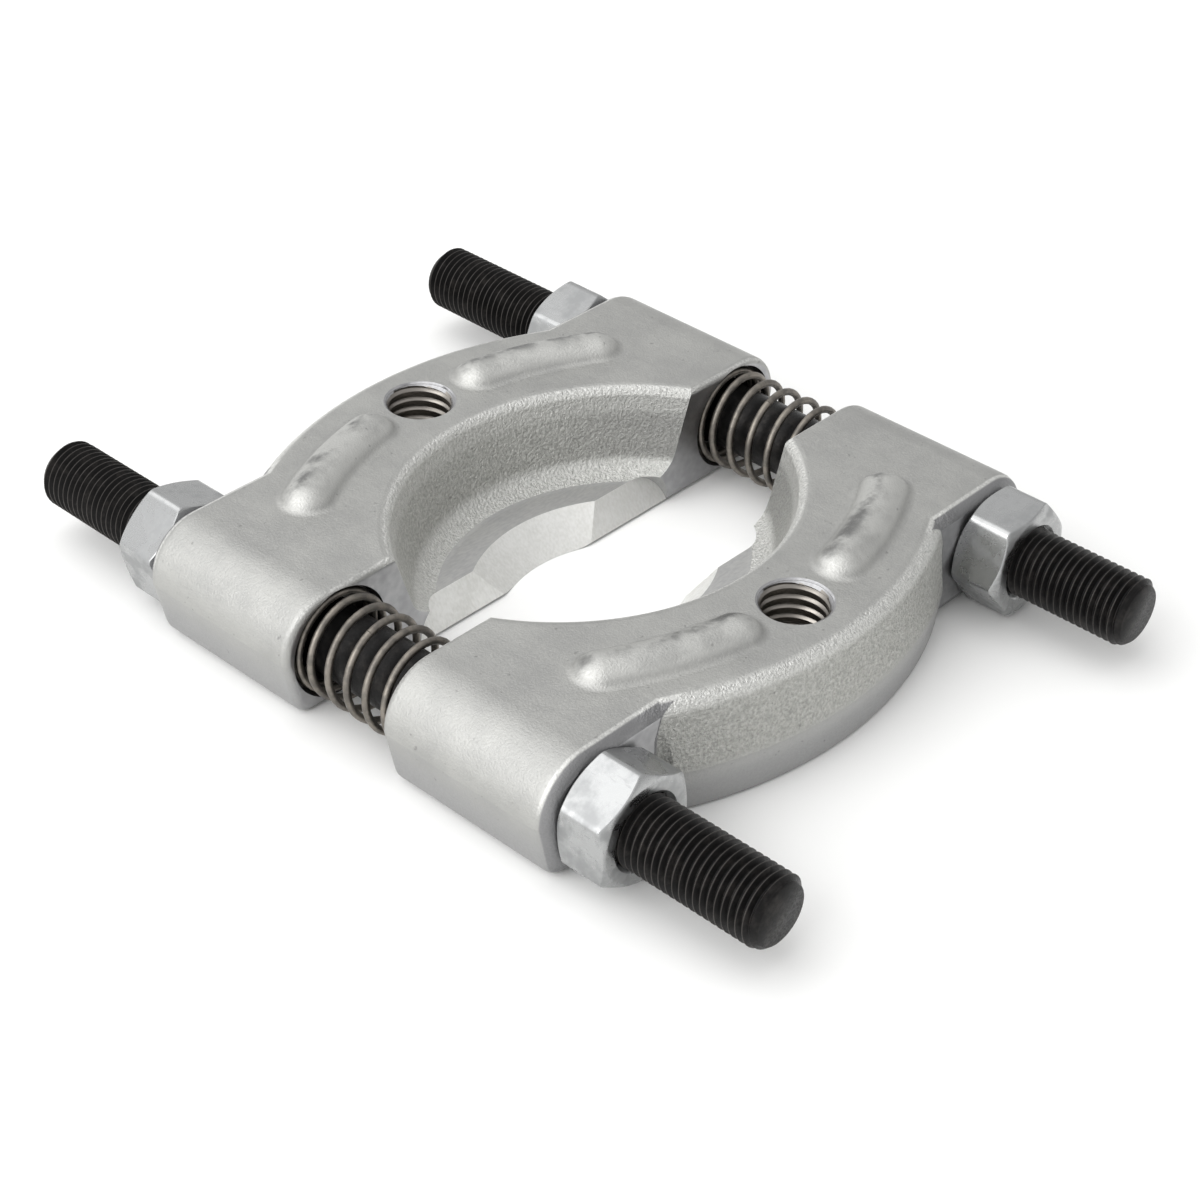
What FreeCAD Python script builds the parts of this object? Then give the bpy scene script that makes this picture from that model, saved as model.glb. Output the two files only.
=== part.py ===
import FreeCAD, Part
import math
import os
from FreeCAD import Vector

# Split puller plate for taking the crown race off a bicycle fork.
# Frame: +X runs along the parting line toward the right stud, +Y runs along
# the studs toward the rear jaw, +Z is up. The origin lies midway along the
# studs and midway between them, on the flat underside. Millimetres.

X_AXIS = Vector(1, 0, 0)
Y_AXIS = Vector(0, 1, 0)
Z_AXIS = Vector(0, 0, 1)

# Driving sizes.

# Studs: M14 x 1.5, one through each pair of lugs.
stud_diameter = 14.0
stud_pitch = 1.5
stud_length = 185.5
stud_spacing = 110.0
stud_left_shift = -2.3
stud_right_shift = 2.3
shank_half_length = 26.0
shank_undercut = 0.35

# Gap between the two parting faces as the springs hold it, and where the
# middle of that gap stands along the studs.
jaw_gap = 25.0
gap_centre_y = -2.9

# Jaw forging.
jaw_height = 24.0
lug_depth = 39.5
lug_wall = 13.3
lug_crease_drop = 11.4
lug_top_inset = 0.3
lug_foot_inset = 3.0
lug_top_radius = 11.0
lug_foot_radius = 4.0
seat_edge_radius = 3.0
parting_edge_radius = 1.5

# Outer wall of the arch, turned about an axis in front of the parting face,
# and how far the arch reaches behind that face.
outer_radius = 85.0
arch_reach = 51.4
outer_top_inset = 2.2
outer_foot_inset = 1.0
outer_crease_height = 9.5
outer_foot_radius = 1.0
arch_top_radius = 3.5
notch_rise = 2.73
notch_corner_radius = 3.0

# Opening, concentric about its own axis in front of the parting face.
opening_axis_setback = 24.0
opening_top_radius = 47.8
opening_wall_draft = 0.29
opening_top_fillet = 2.5
opening_foot_fillet = 6.0

# Thin lip at the bottom with its conical and flat bevels.
knife_radius = 26.8
lip_height = 6.7
cone_top_radius = 32.9
flat_bevel_depth = 4.0
flat_bevel_half_length = 35.0
flat_bevel_corner = 7.0

# Bores.
bore_clearance = 0.6
spring_pocket_diameter = 22.5
spring_pocket_depth = 4.0

# Puller leg hole: M12 x 1.75 with a countersink.
leg_hole_diameter = 12.0
leg_hole_wall = 15.1
leg_hole_rim = 14.6

# Raised ribs on the flat top, left and right of the leg hole and in line with it.
rib_height = 3.0
rib_half_width = 5.2
rib_axis_setback = 42.0
rib_inner_angle = 11.0
rib_outer_angle = 30.5
rib_foot_radius = 1.8

# Hexagon nuts.
nut_across_flats = 21.0
nut_across_corners = 23.8
nut_thickness = 11.0
nut_clearance = 0.05
nut_countersink = 0.8

# Compression springs over the studs.
spring_wire = 1.5
spring_outer_diameter = 20.9
spring_turns = 8.6
spring_closed_turns = 0.8
spring_rear_easing = 2.6
spring_front_easing = 1.2
spring_play = 0.05
spring_stations = 18.0

# Sizes that follow.

rear_parting_y = gap_centre_y + jaw_gap / 2.0
front_parting_y = gap_centre_y - jaw_gap / 2.0
half_spacing = stud_spacing / 2.0
lug_side_x = half_spacing + lug_wall
lug_crease_height = jaw_height - lug_crease_drop
axis_height = jaw_height / 2.0
rear_seat_y = rear_parting_y + lug_depth
front_seat_y = front_parting_y - lug_depth
# The end chamfers run just below the root of the thread.
stud_chamfer = 0.8 * stud_pitch
outer_axis_setback = outer_radius - arch_reach
# The arch leaves the lugs where its widest line stands a little behind the seats.
notch_x = math.sqrt(outer_radius ** 2 - (outer_axis_setback + lug_depth + notch_rise) ** 2)
leg_hole_y = arch_reach - leg_hole_wall
rib_radius = rib_axis_setback + leg_hole_y


def polygon_face(points):
    """Flat face from a list of points."""
    loop = list(points) + [points[0]]
    return Part.Face(Part.makePolygon(loop))


def cylinder_along_y(radius, start, end, x=0.0, z=0.0):
    """Round bar along +Y between two stations."""
    return Part.makeCylinder(radius, end - start, Vector(x, start, z), Y_AXIS)


def revolve_profile(points, centre_y):
    """Turn an (r, z) profile about an upright axis at (0, centre_y)."""
    face = polygon_face([Vector(r, centre_y, z) for r, z in points])
    return face.revolve(Vector(0, centre_y, 0), Z_AXIS, 360)


# The jaw, in its own frame with the parting face at y = 0.

def lug_bar():
    """Bar that carries both lugs: drafted sides, crease, big top radius."""
    top = lug_side_x - lug_top_inset
    foot = lug_side_x - lug_foot_inset
    section = [
        Vector(-foot, 0, 0),
        Vector(foot, 0, 0),
        Vector(lug_side_x, 0, lug_crease_height),
        Vector(top, 0, jaw_height),
        Vector(-top, 0, jaw_height),
        Vector(-lug_side_x, 0, lug_crease_height),
    ]
    bar = polygon_face(section).extrude(Vector(0, lug_depth, 0))
    long_top = []
    for edge in bar.Edges:
        middle = edge.CenterOfMass
        along_y = abs(middle.y - lug_depth / 2.0) < 0.01
        if along_y and abs(middle.z - jaw_height) < 0.01:
            long_top.append(edge)
    bar = bar.makeFillet(lug_top_radius, long_top)
    bar = bar.makeFillet(lug_foot_radius, foot_edges(bar))
    bar = bar.makeFillet(seat_edge_radius, seat_edges(bar))
    return bar.makeFillet(parting_edge_radius, parting_edges(bar))


def parting_edges(bar):
    """Edges round the parting end of the bar, without the one underneath."""
    found = []
    for edge in bar.Edges:
        box = edge.BoundBox
        if box.YMax < 0.01 and box.ZMax > 0.1:
            found.append(edge)
    return found


def seat_edges(bar):
    """Edges round the seat end of the bar, without the one underneath."""
    found = []
    for edge in bar.Edges:
        box = edge.BoundBox
        on_seat = box.YMin > lug_depth - 0.01
        if on_seat and box.ZMax > 0.1:
            found.append(edge)
    return found


def foot_edges(bar):
    """Two long underside edges below the lug sides."""
    found = []
    for edge in bar.Edges:
        box = edge.BoundBox
        if box.ZMax < 0.01 and box.YLength > lug_depth - 0.01:
            found.append(edge)
    return found


def arch_disc():
    """Outer wall of the arch as a turned body, cut to the arch's own width."""
    base = outer_radius - outer_foot_inset
    top = outer_radius - outer_top_inset
    profile = [
        (0.0, 0.0),
        (base, 0.0),
        (outer_radius, outer_crease_height),
        (top, jaw_height),
        (0.0, jaw_height),
    ]
    disc = revolve_profile(profile, -outer_axis_setback)
    rims = [e for e in disc.Edges if e.BoundBox.ZMin > jaw_height - 0.01 and e.Length > 10]
    disc = disc.makeFillet(arch_top_radius, rims)
    feet = [e for e in disc.Edges if e.BoundBox.ZMax < 0.01 and e.Length > 10]
    disc = disc.makeFillet(outer_foot_radius, feet)
    return disc.common(arch_window())


def arch_window():
    """Upright prism that bounds the arch, flared to the seats by a corner radius."""
    far = outer_radius
    near = parting_edge_radius
    r = notch_corner_radius
    x = notch_x
    y = lug_depth
    slope = r * (1.0 - math.sqrt(0.5))
    right_mid = Vector(x + slope, y + slope, 0)
    left_mid = Vector(-x - slope, y + slope, 0)
    edges = [
        Part.makeLine(Vector(-x - r, near, 0), Vector(x + r, near, 0)),
        Part.makeLine(Vector(x + r, near, 0), Vector(x + r, y, 0)),
        Part.Arc(Vector(x + r, y, 0), right_mid, Vector(x, y + r, 0)).toShape(),
        Part.makeLine(Vector(x, y + r, 0), Vector(x, far, 0)),
        Part.makeLine(Vector(x, far, 0), Vector(-x, far, 0)),
        Part.makeLine(Vector(-x, far, 0), Vector(-x, y + r, 0)),
        Part.Arc(Vector(-x, y + r, 0), left_mid, Vector(-x - r, y, 0)).toShape(),
        Part.makeLine(Vector(-x - r, y, 0), Vector(-x - r, near, 0)),
    ]
    face = Part.Face(Part.Wire(edges))
    return face.extrude(Vector(0, 0, jaw_height))


def opening_cutter():
    """Turned cutter for the opening: cone bevel, ledge, foot fillet, wall, top fillet."""
    top = jaw_height
    wall_foot = opening_top_radius - opening_wall_draft * (top - lip_height)
    slope = math.atan(opening_wall_draft)
    # Foot fillet between the level ledge and the leaning wall.
    reach = opening_foot_fillet * math.tan((math.pi / 2.0 - slope) / 2.0)
    foot_start = Vector(wall_foot - reach, -opening_axis_setback, lip_height)
    foot_end = Vector(wall_foot + reach * math.sin(slope), -opening_axis_setback,
                      lip_height + reach * math.cos(slope))
    centre = Vector(foot_start.x, -opening_axis_setback, lip_height + opening_foot_fillet)
    turn = (math.pi / 2.0 - slope) / 2.0
    foot_mid = centre + Vector(opening_foot_fillet * math.sin(turn), 0,
                               -opening_foot_fillet * math.cos(turn))
    # Top fillet between the wall and the flat top.
    angle = math.pi / 2.0 + slope
    span = opening_top_fillet / math.tan(angle / 2.0)
    rim_start = Vector(opening_top_radius - span * math.sin(slope), -opening_axis_setback,
                       top - span * math.cos(slope))
    rim_end = Vector(opening_top_radius + span, -opening_axis_setback, top)
    rim_centre = Vector(rim_end.x, -opening_axis_setback, top - opening_top_fillet)
    half = (rim_start + rim_end) * 0.5 - rim_centre
    half.normalize()
    rim_mid = rim_centre + half * opening_top_fillet
    y = -opening_axis_setback
    tip = knife_radius - (cone_top_radius - knife_radius) / lip_height
    edges = [
        Part.makeLine(Vector(0, y, -1), Vector(tip, y, -1)),
        Part.makeLine(Vector(tip, y, -1), Vector(cone_top_radius, y, lip_height)),
        Part.makeLine(Vector(cone_top_radius, y, lip_height), foot_start),
        Part.Arc(foot_start, foot_mid, foot_end).toShape(),
        Part.makeLine(foot_end, rim_start),
        Part.Arc(rim_start, rim_mid, rim_end).toShape(),
        Part.makeLine(rim_end, Vector(rim_end.x, y, top + 5)),
        Part.makeLine(Vector(rim_end.x, y, top + 5), Vector(0, y, top + 5)),
        Part.makeLine(Vector(0, y, top + 5), Vector(0, y, -1)),
    ]
    face = Part.Face(Part.Wire(edges))
    return face.revolve(Vector(0, y, 0), Z_AXIS, 360)


def flat_bevel_cutter():
    """Milled flat bevel above the lip, with rounded run-outs at both ends."""
    along = Vector(0, flat_bevel_depth, lip_height)
    width = along.Length
    along.normalize()
    normal = Vector(0, -along.z, along.y)
    start = Vector(0, 0, 0) - along * 2.0
    corner = flat_bevel_corner
    half = flat_bevel_half_length

    def at(u, v):
        return start + X_AXIS * u + along * v

    top = width + 2.0
    slope = corner * (1.0 - math.sqrt(0.5))
    right_mid = at(half - slope, top - slope)
    left_mid = at(-half + slope, top - slope)
    edges = [
        Part.makeLine(at(-half, 0), at(half, 0)),
        Part.makeLine(at(half, 0), at(half, top - corner)),
        Part.Arc(at(half, top - corner), right_mid, at(half - corner, top)).toShape(),
        Part.makeLine(at(half - corner, top), at(-half + corner, top)),
        Part.Arc(at(-half + corner, top), left_mid, at(-half, top - corner)).toShape(),
        Part.makeLine(at(-half, top - corner), at(-half, 0)),
    ]
    face = Part.Face(Part.Wire(edges))
    return face.extrude(normal * 12.0)


def rib(side):
    """Pillow-shaped rib: a ring segment with a ball at each end, mostly sunk in the top."""
    swell = (rib_half_width ** 2 + rib_height ** 2) / (2.0 * rib_height)
    level = jaw_height + rib_height - swell
    sweep = rib_outer_angle - rib_inner_angle
    ring = Part.makeTorus(rib_radius, swell, Vector(0, 0, 0), Z_AXIS, 0, 360, sweep)
    start = 90.0 - side * rib_inner_angle
    ring.rotate(Vector(0, 0, 0), Z_AXIS, start - sweep if side > 0 else start)
    balls = []
    for angle in (rib_inner_angle, rib_outer_angle):
        turned = math.radians(angle)
        place = Vector(side * rib_radius * math.sin(turned), rib_radius * math.cos(turned), 0)
        balls.append(Part.makeSphere(swell, place))
    body = ring.fuse(balls)
    body.translate(Vector(0, -rib_axis_setback, level))
    near = Vector(-lug_side_x, 0, jaw_height - 1.0)
    cap = Part.makeBox(2.0 * lug_side_x, arch_reach, rib_height + 2.0, near)
    return body.common(cap)


def blend_rib_feet(jaw):
    """Concave fillets where the ribs rise out of the flat top."""
    feet = []
    for edge in jaw.Edges:
        box = edge.BoundBox
        flat = abs(box.ZMin - jaw_height) < 0.01 and abs(box.ZMax - jaw_height) < 0.01
        point = edge.CenterOfMass
        reach = math.hypot(point.x, point.y + rib_axis_setback)
        near_rib = abs(reach - rib_radius) < rib_half_width + 0.6
        inside = 6.0 < abs(point.x) < 50.0 and near_rib
        away = math.hypot(point.x, point.y - leg_hole_y) > leg_hole_rim / 2.0 + 0.5
        if flat and inside and away:
            feet.append(edge)
    return jaw.makeFillet(rib_foot_radius, feet)


def leg_hole_cutter():
    """Threaded leg hole, drawn at its nominal diameter, with both countersinks."""
    radius = leg_hole_diameter / 2.0
    rim = leg_hole_rim / 2.0
    depth = rim - radius
    hole = Part.makeCylinder(radius, jaw_height + 2, Vector(0, leg_hole_y, -1))
    upper = Part.makeCone(radius, rim, depth, Vector(0, leg_hole_y, jaw_height - depth))
    lower = Part.makeCone(rim, radius, depth, Vector(0, leg_hole_y, 0))
    return hole.fuse([upper, lower])


def stud_bore_cutter(x):
    """Clearance bore through one lug with the spring pocket in the parting face."""
    bore = cylinder_along_y((stud_diameter + bore_clearance) / 2.0, -1, lug_depth + 1,
                            x, axis_height)
    pocket = cylinder_along_y(spring_pocket_diameter / 2.0, -1, spring_pocket_depth,
                              x, axis_height)
    return bore.fuse(pocket)


def jaw_body():
    """One jaw with its parting face on y = 0 and its seats toward +Y."""
    body = lug_bar().fuse(arch_disc()).removeSplitter()
    body = body.cut(opening_cutter())
    body = body.cut(flat_bevel_cutter())
    body = body.fuse([rib(1), rib(-1)]).removeSplitter()
    body = blend_rib_feet(body)
    cutters = [leg_hole_cutter(), stud_bore_cutter(half_spacing), stud_bore_cutter(-half_spacing)]
    for cutter in cutters:
        body = body.cut(cutter)
    return body


# Bought-in parts.

def stud(x, shift):
    """Stud with thread zones at full diameter, plain shank and chamfered ends."""
    half = stud_length / 2.0
    radius = stud_diameter / 2.0
    shank = radius - shank_undercut / 2.0
    points = [
        Vector(0, -half, 0),
        Vector(radius - stud_chamfer, -half, 0),
        Vector(radius, -half + stud_chamfer, 0),
        Vector(radius, -shank_half_length, 0),
        Vector(shank, -shank_half_length + shank_undercut, 0),
        Vector(shank, shank_half_length - shank_undercut, 0),
        Vector(radius, shank_half_length, 0),
        Vector(radius, half - stud_chamfer, 0),
        Vector(radius - stud_chamfer, half, 0),
        Vector(0, half, 0),
    ]
    body = polygon_face(points).revolve(Vector(0, 0, 0), Y_AXIS, 360)
    body.translate(Vector(x, shift, axis_height))
    return body


def hex_nut():
    """Hexagon nut on the Y axis from y = 0 outward, chamfered on both faces."""
    corner = nut_across_flats / math.sqrt(3.0)
    loop = []
    for index in range(6):
        angle = math.radians(60 * index + 30)
        loop.append(Vector(corner * math.cos(angle), 0, corner * math.sin(angle)))
    prism = polygon_face(loop).extrude(Vector(0, nut_thickness, 0))
    round_radius = nut_across_corners / 2.0
    face_radius = nut_across_flats / 2.0 * 0.95
    rise = (round_radius - face_radius) * math.tan(math.radians(30))
    drum = [
        Vector(0, 0, 0),
        Vector(face_radius, 0, 0),
        Vector(round_radius, rise, 0),
        Vector(round_radius, nut_thickness - rise, 0),
        Vector(face_radius, nut_thickness, 0),
        Vector(0, nut_thickness, 0),
    ]
    turned = polygon_face(drum).revolve(Vector(0, 0, 0), Y_AXIS, 360)
    body = prism.common(turned)
    radius = stud_diameter / 2.0 + nut_clearance
    body = body.cut(cylinder_along_y(radius, -1, nut_thickness + 1))
    wide = radius + nut_countersink
    near = Part.makeCone(wide, radius, nut_countersink, Vector(0, 0, 0), Y_AXIS)
    far = Part.makeCone(radius, wide, nut_countersink,
                        Vector(0, nut_thickness - nut_countersink, 0), Y_AXIS)
    return body.cut(near).cut(far)


def placed_nut(x, direction, turn):
    """Nut seated on a lug: direction +1 at the rear jaw, -1 at the front jaw."""
    body = hex_nut()
    if direction < 0:
        body.rotate(Vector(0, 0, 0), Z_AXIS, 180)
    body.rotate(Vector(0, 0, 0), Y_AXIS, turn)
    seat = rear_seat_y if direction > 0 else front_seat_y
    body.translate(Vector(x, seat, axis_height))
    return body


def wire_section(radius, turn, height, rise_per_turn):
    """Round section of the spring wire, square to the coil at one station."""
    lean = math.degrees(math.atan2(rise_per_turn, 2.0 * math.pi * radius))
    loop = Part.Wire(Part.makeCircle(spring_wire / 2.0, Vector(radius, 0, 0), Y_AXIS).Edges)
    loop.rotate(Vector(radius, 0, 0), X_AXIS, lean)
    loop.rotate(Vector(0, 0, 0), Z_AXIS, 360.0 * turn)
    loop.translate(Vector(0, 0, height))
    return loop


def eased(share):
    """Run smoothly from nought to one, held outside."""
    share = min(1.0, max(0.0, share))
    return share * share * (3.0 - 2.0 * share)


def spring_opening(turn):
    """How far the coil has opened at a turn counted from its front end."""
    rest = spring_turns - turn
    front = eased((turn - spring_closed_turns) / spring_front_easing)
    rear = eased((rest - spring_closed_turns) / spring_rear_easing)
    return min(front, rear)


def spring(x):
    """Coil spring: closed at both ends, and wound tighter toward the rear jaw."""
    radius = (spring_outer_diameter - spring_wire) / 2.0
    length = jaw_gap + 2.0 * spring_pocket_depth - 2.0 * spring_play
    closed_pitch = spring_wire * 1.1
    run = length - spring_wire * 1.02
    steps = int(spring_turns * spring_stations)
    opened = 0.0
    for index in range(steps):
        opened += spring_opening((index + 0.5) / steps * spring_turns)
    opened *= spring_turns / steps
    open_pitch = closed_pitch + (run - closed_pitch * spring_turns) / opened
    height = -run / 2.0
    sections = []
    for index in range(steps + 1):
        turn = index / steps * spring_turns
        share = spring_opening(turn)
        rise = closed_pitch * (1.0 - share) + open_pitch * share
        sections.append(wire_section(radius, turn - spring_turns, height, rise))
        share = spring_opening((index + 0.5) / steps * spring_turns)
        rise = closed_pitch * (1.0 - share) + open_pitch * share
        height += rise * spring_turns / steps
    faces = [Part.Face(sections[0]), Part.Face(sections[-1])]
    for before, after in zip(sections, sections[1:]):
        faces.append(Part.makeRuledSurface(before.Edges[0], after.Edges[0]))
    skin = Part.makeShell(faces)
    skin.sewShape()
    body = Part.makeSolid(Part.Shell(skin.Faces))
    body.rotate(Vector(0, 0, 0), X_AXIS, -90)
    body.translate(Vector(x, gap_centre_y, axis_height))
    return body


# Assembly.

def build():
    """Every separate piece in the row's frame."""
    rear = jaw_body()
    front = rear.copy()
    rear.translate(Vector(0, rear_parting_y, 0))
    front.rotate(Vector(0, 0, 0), Z_AXIS, 180)
    front.translate(Vector(0, front_parting_y, 0))
    pieces = {
        "jaw_rear": rear,
        "jaw_front": front,
        "stud_left": stud(-half_spacing, stud_left_shift),
        "stud_right": stud(half_spacing, stud_right_shift),
        "nut_rear_left": placed_nut(-half_spacing, 1, 45),
        "nut_rear_right": placed_nut(half_spacing, 1, 11),
        "nut_front_left": placed_nut(-half_spacing, -1, -3),
        "nut_front_right": placed_nut(half_spacing, -1, 22),
        "spring_left": spring(-half_spacing),
        "spring_right": spring(half_spacing),
    }
    return pieces


os.makedirs("parts", exist_ok=True)
for name, shape in build().items():
    shape.exportStep(os.path.join("parts", name + ".step"))
    box = shape.BoundBox
    print(name, shape.ShapeType, shape.isValid(), len(shape.Solids), round(shape.Volume, 1),
          [round(v, 2) for v in (box.XMin, box.YMin, box.ZMin, box.XMax, box.YMax, box.ZMax)])
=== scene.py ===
"""Looks of a fork crown race remover: forged jaws on threaded studs, with nuts and springs."""

import logging
import math
from dataclasses import dataclass
from enum import Enum
from typing import Any, Callable, Iterable, Optional, Sequence

import bmesh
import bpy
import numpy as np
from mathutils import Matrix, Vector


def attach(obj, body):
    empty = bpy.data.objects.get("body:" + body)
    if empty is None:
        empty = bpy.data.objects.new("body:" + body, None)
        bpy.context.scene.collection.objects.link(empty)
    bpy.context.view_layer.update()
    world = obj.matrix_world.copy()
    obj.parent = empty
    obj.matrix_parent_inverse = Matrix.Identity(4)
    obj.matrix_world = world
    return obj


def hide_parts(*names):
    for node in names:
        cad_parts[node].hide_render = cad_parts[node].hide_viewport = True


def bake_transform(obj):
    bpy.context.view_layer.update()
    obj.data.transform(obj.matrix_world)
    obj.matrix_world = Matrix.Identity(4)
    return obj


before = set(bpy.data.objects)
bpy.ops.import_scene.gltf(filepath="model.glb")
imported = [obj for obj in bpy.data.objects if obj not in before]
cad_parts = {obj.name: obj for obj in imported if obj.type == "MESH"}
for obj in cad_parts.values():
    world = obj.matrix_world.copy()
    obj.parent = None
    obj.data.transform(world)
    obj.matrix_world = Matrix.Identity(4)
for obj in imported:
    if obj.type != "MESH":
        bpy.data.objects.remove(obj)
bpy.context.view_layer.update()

log = logging.getLogger("race_remover")
MM = 0.001
NEAR = 0.05  # Millimetres within which a face counts as part of a surface.
MERGE = 1e-7  # Metres within which two points are one.
Point = tuple[float, float, float]
Material = bpy.types.Material
Socket = bpy.types.NodeSocket


class Hand(Enum):
    """Which way along the studs a jaw and its nuts face."""

    REAR = 1
    FRONT = -1


class Side(Enum):
    """Which stud a piece sits on."""

    LEFT = -1
    RIGHT = 1


class Region(Enum):
    """Kinds of surface on a jaw, each with its own finish."""

    FORGED = 0
    MILLED = 1
    GROUND = 2
    BORED = 3
    TAPPED = 4
    LEDGE = 5


# Shared helpers.


def linear(hex_colour: str) -> tuple[float, float, float, float]:
    """Turn an sRGB hex colour into linear values.

    Args:
        hex_colour: Six hex digits with a leading hash.

    Returns:
        Linear red, green and blue with an alpha of one.
    """
    values = [int(hex_colour[i : i + 2], 16) / 255 for i in (1, 3, 5)]
    turned = [v / 12.92 if v <= 0.04045 else ((v + 0.055) / 1.055) ** 2.4 for v in values]
    return (turned[0], turned[1], turned[2], 1.0)


def per_metre(size_mm: float) -> float:
    """Texture scale that makes one feature of a pattern that many millimetres wide."""
    return 1000.0 / size_mm


def smoothstep(low: float, high: float, value: float) -> float:
    """Ease from nought at low to one at high."""
    share = min(1.0, max(0.0, (value - low) / (high - low)))
    return share * share * (3 - 2 * share)


def add_node(
    tree: bpy.types.NodeTree,
    kind: str,
    inputs: Optional[dict[Any, Any]] = None,
    **settings: Any,
) -> bpy.types.Node:
    """Add a shader node with its settings and links.

    Args:
        tree: Node tree that takes the node.
        kind: Name of the node type.
        inputs: Socket name or number to a value, or to the output that feeds it.
        **settings: Properties of the node itself.

    Returns:
        The new node.
    """
    node = tree.nodes.new(kind)
    for name, value in settings.items():
        setattr(node, name, value)
    for key, value in (inputs or {}).items():
        if isinstance(value, Socket):
            tree.links.new(value, node.inputs[key])
        else:
            node.inputs[key].default_value = value
    return node


def piece_from(
    name: str,
    points: Sequence[Sequence[float]],
    faces: Iterable[Sequence[int]],
    sharp_degrees: float = 40.0,
    cap_holes: bool = False,
) -> bpy.types.Object:
    """Make an object from points in millimetres and faces.

    Args:
        name: Name of the piece.
        points: Corner points in millimetres, in the row frame.
        faces: Corner numbers of each face.
        sharp_degrees: Edges steeper than this stay sharp.
        cap_holes: Whether open rims are closed with a flat face.

    Returns:
        The object, linked to the scene.
    """
    mesh = bpy.data.meshes.new(name)
    mesh.from_pydata([[c * MM for c in p] for p in points], [], list(faces))
    work = bmesh.new()
    work.from_mesh(mesh)
    bmesh.ops.remove_doubles(work, verts=work.verts, dist=MERGE)
    bmesh.ops.dissolve_degenerate(work, edges=work.edges, dist=MERGE)
    if cap_holes:
        rims = [e for e in work.edges if e.is_boundary]
        bmesh.ops.holes_fill(work, edges=rims, sides=0)
    bmesh.ops.recalc_face_normals(work, faces=work.faces)
    work.to_mesh(mesh)
    work.free()
    mesh.polygons.foreach_set("use_smooth", [True] * len(mesh.polygons))
    mesh.set_sharp_from_angle(angle=math.radians(sharp_degrees))
    piece = bpy.data.objects.new(name, mesh)
    bpy.context.scene.collection.objects.link(piece)
    return piece


def ring_faces(rings: int, steps: int, closed: bool = False) -> list[list[int]]:
    """Join neighbouring rings of points with four-sided faces.

    Args:
        rings: Number of rings.
        steps: Number of points on each ring.
        closed: Whether the last ring joins the first.

    Returns:
        Corner numbers of each face.
    """
    faces = []
    for ring in range(rings if closed else rings - 1):
        here, after = ring * steps, (ring + 1) % rings * steps
        for step in range(steps):
            other = (step + 1) % steps
            faces.append([here + step, here + other, after + other, after + step])
    return faces


def report(piece: bpy.types.Object, words: str) -> None:
    """Log one finished piece with its face count."""
    log.info("%s: %s, %d faces", piece.name, words, len(piece.data.polygons))


# Finishes.


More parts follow.
